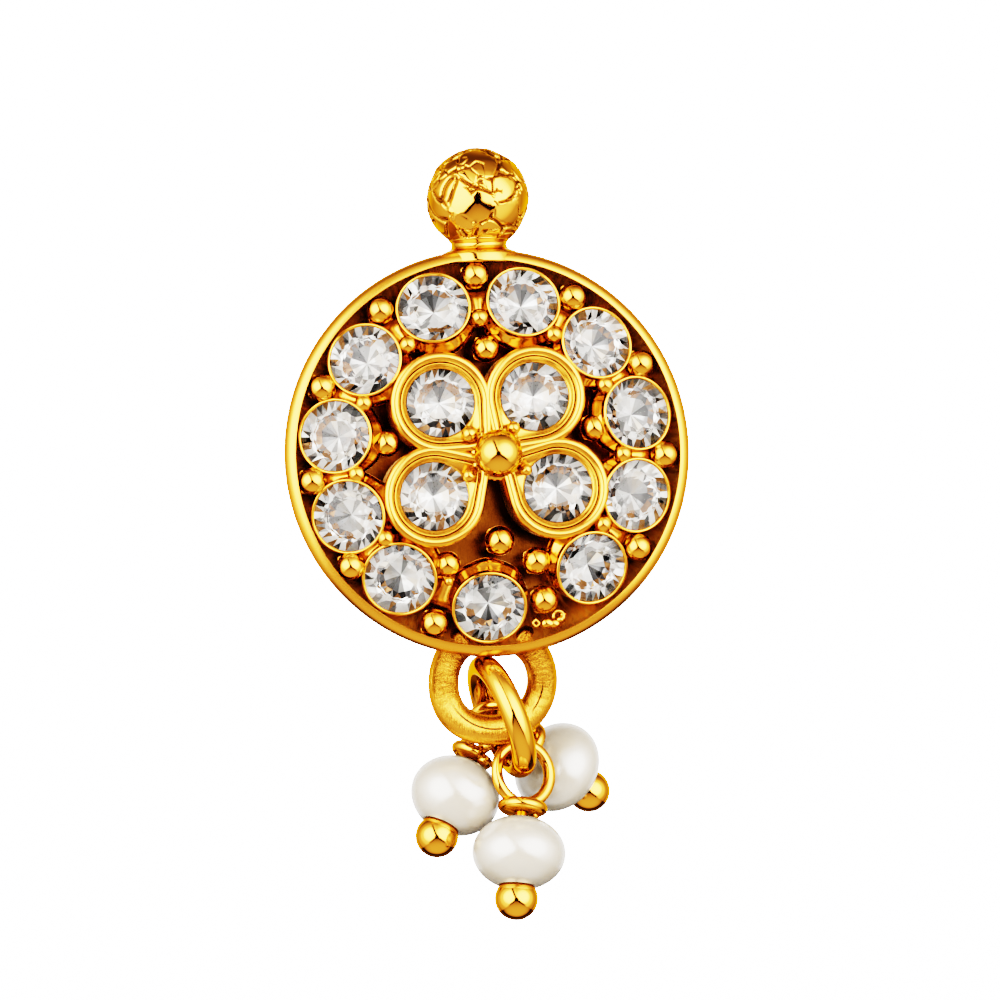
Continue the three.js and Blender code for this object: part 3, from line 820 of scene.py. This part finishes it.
def centre_ball():
    shape = Shape()
    collar = CENTRE_COLLAR_RADIUS
    rows = rounded([(0, PLATE_THICKNESS), (0.5, PLATE_THICKNESS), (0.62, 1.9), (collar - 0.04, 2.2),
                    (collar, 2.3), (collar - 0.05, 2.37), (0.66, 2.4), (0, 2.4)], 0.05, 3)

    def milled(angle, radius, height):
        return radius + 0.016 * math.cos(26 * angle) if radius > collar - 0.08 else radius

    shape.add(*lathe(rows, 208, milled), moved(*CENTRE))
    shape.add(*lathe(ball_rows(CENTRE_BALL_RADIUS, CENTRE_BALL_HEIGHT, -60, 90, 26), 80), moved(*CENTRE))
    on_head(shape, "centre_ball", [POLISHED_GOLD])


def crinkle(direction):
    """How far the top ball's skin stands off its round form in a direction, and how deep in a crack it is."""
    push = Vector((0.9, 1.7, 0.4))
    bend = noise.noise_vector(direction * 1.6 + push) * 0.22
    near, next_near, third = noise.voronoi((direction + bend) * 2.0 + push)[0][:3]
    flat = 0.045 * near * near
    crack = math.exp(-((next_near - near) / 0.085) ** 2)
    whole = clamped(noise.noise(direction * 2.4 - push) * 3.0 + 0.9)
    corner = math.exp(-((third - near) / 0.16) ** 2)
    curl = noise.noise(direction * 9 + push)
    near, next_near = noise.voronoi((direction + bend * 0.6) * 5.0 - push)[0][:2]
    chip = math.exp(-((next_near - near) / 0.12) ** 2)
    chipped = clamped(noise.noise(direction * 3.0 + push * 3) * 6 - 1.3)
    swell = noise.noise(direction * 1.9 + push * 2) * 0.03
    height = swell + flat - 0.08 * crack * whole - 0.06 * chip * chipped + 0.07 * corner * curl
    return height, max(crack * whole, chip * chipped * 0.8)


def top_ball():
    points, faces = lathe(whole_ball(88, 190), 360)
    skin, cracks = [], []
    for p in points:
        direction = Vector(p).normalized()
        height, crack = crinkle(direction)
        skin.append(direction * (TOP_BALL_RADIUS - 0.01 + height))
        cracks.append(crack)
    shape = Shape().add(skin, faces, moved(TOP_BALL_X, TOP_BALL_Y, MIDDLE_PLANE))
    # faces deep in a crack take the dark crack gold: painted shade
    shape.finishes = [1 if sum(cracks[i] for i in face) / len(face) > 0.42 else 0 for face in faces]
    on_head(shape, "top_ball", [CRINKLED_GOLD, CRACK_SHADE_GOLD], 89)


def neck():
    """A short waisted collar that spreads onto the rim."""
    top = TOP_BALL_Y - math.sqrt(TOP_BALL_RADIUS ** 2 - NECK_RADIUS ** 2)
    foot = DISC_RADIUS + LIP_OVERHANG
    rows = rounded([(0, foot - 0.4), (NECK_RADIUS + 0.3, foot - 0.4), (NECK_RADIUS + 0.22, foot - 0.06),
                    (NECK_WAIST_RADIUS + 0.06, foot + 0.03), (NECK_WAIST_RADIUS, foot + 0.13),
                    (NECK_WAIST_RADIUS, top - 0.12), (NECK_RADIUS, top - 0.02),
                    (NECK_RADIUS - 0.06, top + 0.12), (NECK_RADIUS - 0.2, top + 0.2),
                    (0, top + 0.2)], 0.09, 5)
    shape = Shape().add(*lathe(rows, 96), moved(TOP_BALL_X, 0, MIDDLE_PLANE) @ UPRIGHT)
    on_head(shape, "top_neck", [POLISHED_GOLD], 60)


def half_loop():
    """A thick wire bent to most of a ring, with both ends soldered into the rim."""
    buried = DISC_RADIUS - 0.26
    reach = (buried ** 2 - HALF_LOOP_Y ** 2 - HALF_LOOP_RADIUS ** 2) / (2 * HALF_LOOP_RADIUS * HALF_LOOP_Y)
    end = math.degrees(math.asin(reach))
    path = []
    for turn in np.linspace(end, -180 - end, 121):
        x, y = on_circle(turn, HALF_LOOP_RADIUS + 0.02 + 0.1 * math.exp(-((turn + 138) / 34) ** 2))
        path.append((x + 0.01, y + HALF_LOOP_Y, MIDDLE_PLANE))
    run = np.linspace(-1, 1, len(path))
    shape = Shape().add(*tube(path, HALF_LOOP_WIRE * (1 + 0.1 * np.abs(run) ** 14), 48))
    on_head(shape, "half_loop", [BRUSHED_GOLD], 60)


def solder_lump():
    """A little run of solder by the rim, with one curled lobe and a tiny square eye beside it."""
    shape = Shape()
    for x, y, wide, high in SOLDER_LOBES:
        shape.add(*lathe(whole_ball(80, 12), 24),
                  moved(x, y, 1.72) @ Matrix.Diagonal((wide, wide * 0.8, high, 1)))
    curl = [(1.95 + 0.16 * math.cos(a), -4.98 + 0.16 * math.sin(a), 1.83) for a in np.linspace(-0.6, 3.4, 20)]
    shape.add(*tube(curl, 0.045, 10))
    eye = ((1.26, -5.05), (1.16, -5.16), (1.26, -5.28), (1.38, -5.18), (1.26, -5.05))
    shape.add(*tube(rounded([(x, y, 1.8) for x, y in eye], 0.04, 3), 0.035, 8))
    on_head(shape, "solder_lump", [POLISHED_GOLD], 60)


# Stones

# the finishes of a stone's faces: its clear crown, and the painted reflection tones that its back shows
# through it
CLEAR, WHITE, PALE, GREY, DARK, TAN = range(6)


# painted reflection tones by zone, from the middle out, and by how far round the facet is from the side the
# stone leans to:
# the reach in degrees, then the chance of white, pale, grey, dark and tan
PAINTED_REFLECTION_ZONES = [
    [(12, 0, 0, 0, 1, 0), (32, 0, 0, 1, 0, 0), (58, 0.1, 0.9, 0, 0, 0), (180, 0.6, 0.4, 0, 0, 0)],
    [(80, 0.02, 0.08, 0.22, 0.12, 0.56), (148, 0.72, 0.28, 0, 0, 0), (180, 0.15, 0.1, 0, 0.45, 0.3)],
    [(150, 0.78, 0.2, 0.02, 0, 0), (180, 0.25, 0.1, 0, 0.42, 0.23)],
    [(100, 0.3, 0.24, 0.18, 0.08, 0.2), (180, 0.27, 0.2, 0.15, 0.2, 0.18)],
]


def painted_reflection_tone(off, zone, pick):
    """The painted reflection tone of one back facet, off degrees from the side that the stone leans to."""
    chances = next(row[1:] for row in PAINTED_REFLECTION_ZONES[zone] if off <= row[0])
    return pick.choices((WHITE, PALE, GREY, DARK, TAN), chances)[0]


def brilliant(radius, leans, seed):
    """A round brilliant, with its points, faces and each face's finish. leans is in degrees."""
    pick = random.Random(seed)
    eighth = math.pi / 4
    half = GIRDLE_HEIGHT / 2
    table = radius * TABLE_SHARE
    slope = (CROWN_HEIGHT - half) / (radius - table)
    star = (table + (radius - table) * 0.42) / math.cos(eighth / 2)
    star_height = CROWN_HEIGHT - slope * (star * math.cos(eighth / 2) - table)
    spin = math.radians(pick.uniform(0, 22.5))

    def ring(shares, height, count, start=0.0):
        points = []
        for i in range(count):
            angle = spin + start + 2 * math.pi * i / count
            reach = radius * shares[i % len(shares)]
            level = height if height is not None else (
                -PAVILION_DEPTH + (PAVILION_DEPTH - half) * reach / radius + pick.uniform(-0.03, 0.03))
            points.append((reach * math.cos(angle), reach * math.sin(angle), level))
        return points

    points = (ring([TABLE_SHARE], CROWN_HEIGHT, 8) + ring([star / radius], star_height, 8, eighth / 2)
              + ring([1], half, 32) + ring([1], -half, 32) + ring([0.71, 0.66], None, 32)
              + ring([0.6, 0.63], None, 32) + ring([0.45, 0.48], None, 16) + [(0, 0, -PAVILION_DEPTH)])
    # where the points start of the table, the star, the girdle's two edges and the back's three rings
    t, s, g, b, w, m, f, culet = 0, 8, 16, 48, 80, 112, 144, 160
    faces, finishes = [tuple(range(8))], [CLEAR]

    def clear(*corners):
        faces.append(corners)
        finishes.append(CLEAR)

    # each back facet gets a painted reflection tone by its zone and its angle from the side the stone leans
    # to
    def back(zone, *corners):
        x = sum(points[i][0] for i in corners)
        y = sum(points[i][1] for i in corners)
        off = abs((math.degrees(math.atan2(y, x)) - leans + 180) % 360 - 180)
        faces.append(corners)
        finishes.append(painted_reflection_tone(off, zone, pick))

    for k in range(8):
        n, before = (k + 1) % 8, (k - 1) % 8
        clear(t + k, s + k, t + n)
        clear(t + k, s + before, g + 4 * k, s + k)
        for i in range(4 * k, 4 * k + 4):
            clear(s + k, g + i, g + (i + 1) % 32)
    for i in range(32):
        j = (i + 1) % 32
        clear(g + i, b + i, b + j, g + j)
        back(3, b + i, w + i, w + j)
        back(3, b + i, w + j, b + j)
        back(2, w + i, m + i, m + j, w + j)
    for k in range(16):
        n, first, middle, last = (k + 1) % 16, 2 * k, 2 * k + 1, (2 * k + 2) % 32
        back(1, f + k, m + middle, m + first)
        back(1, f + k, f + n, m + middle)
        back(1, f + n, m + last, m + middle)
        back(0, culet, f + n, f + k)
    return points, faces, finishes


def stone(name, radius, seat, leans, seed):
    points, faces, finishes = brilliant(radius, leans, seed)
    shape = Shape()
    shape.points = [seat @ Vector(p) for p in points]
    shape.faces, shape.finishes = faces, finishes
    stands_in(shape.object(name + "_cut", [CRYSTAL] + PAINTED_BACK_REFLECTIONS, 0), "cut_glass", name)


def stones():
    for i, entry in enumerate(OUTER_STONES):
        stone(f"outer_stone_{i + 1:02d}", OUTER_STONE_RADIUS, outer_seat(entry["angle"]), 0, 100 + i)
    for i, petal in enumerate(PETALS):
        stone(f"petal_stone_{petal['name']}", PETAL_STONE_RADIUS, petal_seat(petal), 90, 200 + i)


# Hanging pieces

def hanging_frame(lean, depth, turn, **_):
    """Across, up and aside of a hanging piece. lean tips its top right, depth tips it away, turn spins it."""
    tip, back, spin = math.radians(lean), math.radians(depth), math.radians(turn)
    up = Vector((math.sin(tip) * math.cos(back), math.cos(tip) * math.cos(back), -math.sin(back)))
    level = Vector((math.cos(tip), -math.sin(tip), 0))
    across = level * math.cos(spin) + up.cross(level) * math.sin(spin)
    return across, up, across.cross(up)


def frame_place(axes, place):
    columns = [Vector((*axis, 0)) for axis in axes] + [Vector((*place, 1))]
    return Matrix(columns).transposed()


def drop_place(drop):
    ring_across, ring_up, _ = hanging_frame(**JUMP_RING_HANG)
    axes = hanging_frame(**drop)
    slack = PIN_LOOP_RADIUS - PIN_WIRE - JUMP_RING_WIRE
    around = math.radians(drop["hung"])
    place = (Vector(JUMP_RING_PLACE) - ring_up * JUMP_RING_RADIUS * math.cos(around)
             + ring_across * JUMP_RING_RADIUS * math.sin(around))
    for axis, share in zip(axes, (drop["across"], drop["along"], drop["aside"])):
        place += axis * share * slack
    return frame_place(axes, place)


def jump_ring():
    path = [(x, y, 0) for x, y in arc(0, 0, JUMP_RING_RADIUS, 0, 360, 144)[:-1]]
    joint = 100  # where the ring was closed, shown by a fine line
    radii = np.full(len(path), JUMP_RING_WIRE)
    radii[joint] *= 0.965
    place = frame_place(hanging_frame(**JUMP_RING_HANG), JUMP_RING_PLACE)
    shape = Shape().add(*tube(path, radii, 40, True), place)
    stands_in(shape.object("jump_ring_wire", [WIRE_GOLD], 60), "wire_gold", "jump_ring")


def drop_pin(drop):
    """One wire: up from the end ball, round a loop whose ends meet in a V, and round its own stem."""
    shape = Shape()
    place = drop_place(drop)
    stem = [(0, -END_BALL_DROP + 0.2 + i * 0.12, 0) for i in range(18)]
    shape.add(*tube(stem + [(0, -PIN_LOOP_RADIUS - 0.16, 0)], PIN_WIRE, 20), place)
    end = [(0.15, -WRAP_DROP, 0), (0.17, -1.03, 0), (0.25, -0.92, 0)]
    loop = [(x, y, 0) for x, y in arc(0, 0, PIN_LOOP_RADIUS, -68, 248, 90)]
    shape.add(*tube(end + loop + [(-x, y, z) for x, y, z in reversed(end)], PIN_WIRE, 24), place)
    wrap = []
    for t in np.linspace(0, 1, 60):
        angle = math.radians((1 - t) * drop["wound"][0] + t * drop["wound"][1])
        reach = drop["wrap"] * (0.86 + 0.14 * math.sin(math.pi * min(t * 1.6, 1.0)))
        height = -WRAP_DROP + 0.13 - 0.1 * t - 0.05 * math.cos(angle)
        wrap.append((reach * math.cos(angle), height, reach * math.sin(angle)))
    shape.add(*tube(wrap, PIN_WIRE, 20), place)
    hub = rounded([(0, 0.14), (PIN_WIRE * 1.4, 0.12), (drop["wrap"], 0.03), (drop["wrap"], -0.06),
                   (PIN_WIRE * 1.4, -0.12), (0, -0.14)], 0.05, 2)
    shape.add(*lathe(hub[::-1], 40), place @ moved(0, -WRAP_DROP) @ UPRIGHT)
    shape.add(*lathe(whole_ball(86, 44, END_BALL_RADIUS), 72), place @ moved(0, -END_BALL_DROP) @ UPRIGHT)
    node = "drop_pin_" + drop["name"]
    stands_in(shape.object(node + "_wire", [WIRE_GOLD], 60), "wire_gold", node)


def pearl(drop):
    bore = PIN_WIRE + BORE_CLEARANCE
    hollow = END_BALL_RADIUS + BORE_CLEARANCE
    below = END_BALL_DROP - PEARL_DROP
    girth, tall = drop["girth"], drop["tall"]

    def outside(reach):
        return -tall * math.sqrt(1 - (reach / girth) ** 2)

    def mouth(reach):
        return math.sqrt(hollow ** 2 - reach ** 2) - below

    brim = bore
    while mouth(brim) > outside(brim):
        brim += 0.002
    rows = [(r, mouth(r)) for r in np.linspace(bore, brim, 8)]
    foot = math.asin(-rows[-1][1] / tall)
    crown = math.acos(bore / girth)
    for slope in np.linspace(-foot, crown, 56)[1:]:
        rows.append((girth * math.cos(slope), tall * math.sin(slope)))
    shift = Vector((chance.uniform(-9, 9), chance.uniform(-9, 9), 3))

    def uneven(angle, radius, height):
        if radius < brim + 0.05:
            return radius
        way = Vector((math.cos(angle) * radius, math.sin(angle) * radius, height))
        return radius * (1 + 0.006 * noise.noise(way * 0.9 + shift))

    place = drop_place(drop) @ moved(0, -PEARL_DROP) @ UPRIGHT
    shape = Shape().add(*lathe(rows, 96, uneven, True), place)
    node = "pearl_" + drop["name"]
    stands_in(shape.object(node + "_bead", [PEARL], 50), "pearl", node)


# Studio

VIEW_AZIMUTH = -7.0
VIEW_ELEVATION = -1.0
VIEW_ROLL = 2.0
VIEW_DISTANCE = 0.16
PHOTO_SIDE = 0.030  # what the square picture spans at the rim
PHOTO_CENTRE = (0.00033, -0.001425)  # of the picture from the cup's centre, right and up


def view_axes():
    a, e = math.radians(VIEW_AZIMUTH), math.radians(VIEW_ELEVATION)
    toward = Vector((math.sin(a) * math.cos(e), -math.cos(a) * math.cos(e), math.sin(e)))
    right = Vector((math.cos(a), math.sin(a), 0))
    return right, toward.cross(right), toward


def camera():
    right, up, toward = view_axes()
    turn = math.radians(VIEW_ROLL)
    rolled_right = right * math.cos(turn) - up * math.sin(turn)
    rolled_up = up * math.cos(turn) + right * math.sin(turn)
    aim = Vector((0, -RIM_HEIGHT * 0.001, 0)) + rolled_right * PHOTO_CENTRE[0] + rolled_up * PHOTO_CENTRE[1]
    data = bpy.data.cameras.new("camera")
    data.sensor_width = 36.0
    data.lens = data.sensor_width * VIEW_DISTANCE / PHOTO_SIDE
    data.clip_start, data.clip_end = 0.01, 10.0
    eye = bpy.data.objects.new("camera", data)
    place = Matrix((rolled_right, rolled_up, toward)).transposed().to_4x4()
    place.translation = aim + toward * VIEW_DISTANCE
    eye.matrix_world = place
    bpy.context.scene.collection.objects.link(eye)
    bpy.context.scene.camera = eye


def light_tent():
    """Soft light from two tall cloths and a lower one, with thin dark seams that meet at the lens hole."""
    world = bpy.data.worlds.new("light_tent")
    bpy.context.scene.world = world
    world.use_nodes = True
    tree = world.node_tree
    tree.nodes.clear()
    way = new_node(tree, "ShaderNodeTexCoord").outputs["Generated"]
    right, up, toward = view_axes()
    ahead = maths(tree, "MAXIMUM", maths(tree, "ADD", dot(tree, way, toward), 1.0), 0.02)
    u = maths(tree, "DIVIDE", dot(tree, way, right), ahead)
    v = maths(tree, "DIVIDE", dot(tree, way, up), ahead)
    out = length_of(tree, u, v)

    def lobe(x, y, wide, high, strength):
        a = maths(tree, "POWER", maths(tree, "DIVIDE", maths(tree, "SUBTRACT", u, x), wide), 2.0)
        b = maths(tree, "POWER", maths(tree, "DIVIDE", maths(tree, "SUBTRACT", v, y), high), 2.0)
        return product(tree, between(tree, maths(tree, "ADD", a, b), 0.0, 1.0, 1.0, 0.0), strength)

    light = between(tree, out, 1.2, 3.2, TENT_BASE, TENT_BACK)
    for x, y, wide, high, strength in TENT_LOBES:
        light = maths(tree, "MAXIMUM", light, lobe(x, y, wide, high, strength))
    slope = product(tree, maths(tree, "ABSOLUTE", u), TENT_APRON_SLOPE)
    below = maths(tree, "SUBTRACT", product(tree, v, -1.0), slope)
    light = product(tree, light, between(tree, below, -0.02, 0.02, 1.0, TENT_APRON))
    light = maths(tree, "MAXIMUM", light, lobe(*TENT_LOW_CLOTH))
    for angle, width, reach in TENT_SEAMS:
        x, y = math.cos(math.radians(angle)), math.sin(math.radians(angle))
        along = maths(tree, "ADD", product(tree, u, x), product(tree, v, y))
        off = maths(tree, "SUBTRACT", product(tree, u, y), product(tree, v, x))
        line = product(tree, between(tree, maths(tree, "ABSOLUTE", off), width * 0.5, width, 1.0, 0.0),
                       between(tree, along, -0.01, 0.02), between(tree, along, reach * 0.6, reach, 1.0, 0.0))
        light = product(tree, light, maths(tree, "SUBTRACT", 1.0, line))
    light = product(tree, light, between(tree, out, LENS_HOLE * 0.8, LENS_HOLE))
    tent = new_node(tree, "ShaderNodeBackground", Color=(1.0, 0.985, 0.955, 1), Strength=light)
    white = new_node(tree, "ShaderNodeBackground", Color=(1, 1, 1, 1), Strength=BACKDROP)
    seen = new_node(tree, "ShaderNodeLightPath").outputs["Is Camera Ray"]
    mixed = new_node(tree, "ShaderNodeMixShader")
    tree.links.new(seen, mixed.inputs[0])
    tree.links.new(tent.outputs[0], mixed.inputs[1])
    tree.links.new(white.outputs[0], mixed.inputs[2])
    tree.links.new(mixed.outputs[0], new_node(tree, "ShaderNodeOutputWorld").inputs["Surface"])


TENT_BASE = 0.05  # light between the cloths
TENT_BACK = 0.6  # light from behind the pin
# place of each bright cloth as seen on a mirror ball, its half width and half height, and its strength
TENT_LOBES = [
    (-0.6, 0.0, 1.9, 1.3, 0.42),
    (0.6, 0.0, 1.9, 1.3, 0.32),
    (-0.46, 0.10, 1.0, 0.82, 1.1),
    (0.46, 0.08, 1.0, 0.82, 1.1),
    (-0.38, 0.14, 0.56, 0.5, 3.4),
    (0.38, 0.12, 0.56, 0.5, 3.4),
]
TENT_LOW_CLOTH = (0.0, -0.75, 1.1, 0.8, 0.42)
TENT_APRON = 0.12  # how much of the light is left in the wedge below the lens
TENT_APRON_SLOPE = 0.8
# angle of each seam, its half width and its length
TENT_SEAMS = [(110, 0.065, 0.9), (218, 0.045, 0.6), (322, 0.06, 0.7)]
LENS_HOLE = 0.11
BACKDROP = 6.0
FLOOR_Z = -0.060
FLOOR_GLOW = 5.0


def floor():
    """A pale floor that curves up into a backdrop far behind."""
    profile = rounded([(-0.5, FLOOR_Z), (0.75, FLOOR_Z), (0.75, 0.9)], 0.3, 16)
    points = [(x, y, z) for x in (-1.2, 1.2) for y, z in profile]
    count = len(profile)
    faces = [(i, i + 1, count + i + 1, count + i) for i in range(count - 1)]
    mesh = bpy.data.meshes.new("floor")
    mesh.from_pydata(points, [], faces)
    mesh.polygons.foreach_set("use_smooth", [True] * len(faces))
    material, tree, surface = plain_material("pale_floor")
    feed(tree, surface, Base_Color=(0.9, 0.9, 0.9, 1), Roughness=0.9, Emission_Color=(1, 1, 1, 1),
         Emission_Strength=FLOOR_GLOW)
    mesh.materials.append(material)
    piece = bpy.data.objects.new("floor", mesh)
    bpy.context.scene.collection.objects.link(piece)
    piece.visible_diffuse = False
    piece.visible_glossy = False
    piece.visible_transmission = False


cup()
post()
collets()
bridges()
granules()
petals()
centre_ball()
top_ball()
neck()
half_loop()
solder_lump()
stones()
jump_ring()
for drop in DROPS:
    drop_pin(drop)
    pearl(drop)
camera()
light_tent()
floor()
view = bpy.context.scene.view_settings
view.view_transform = "Filmic"
view.look = "Very High Contrast"
view.exposure = 1.3
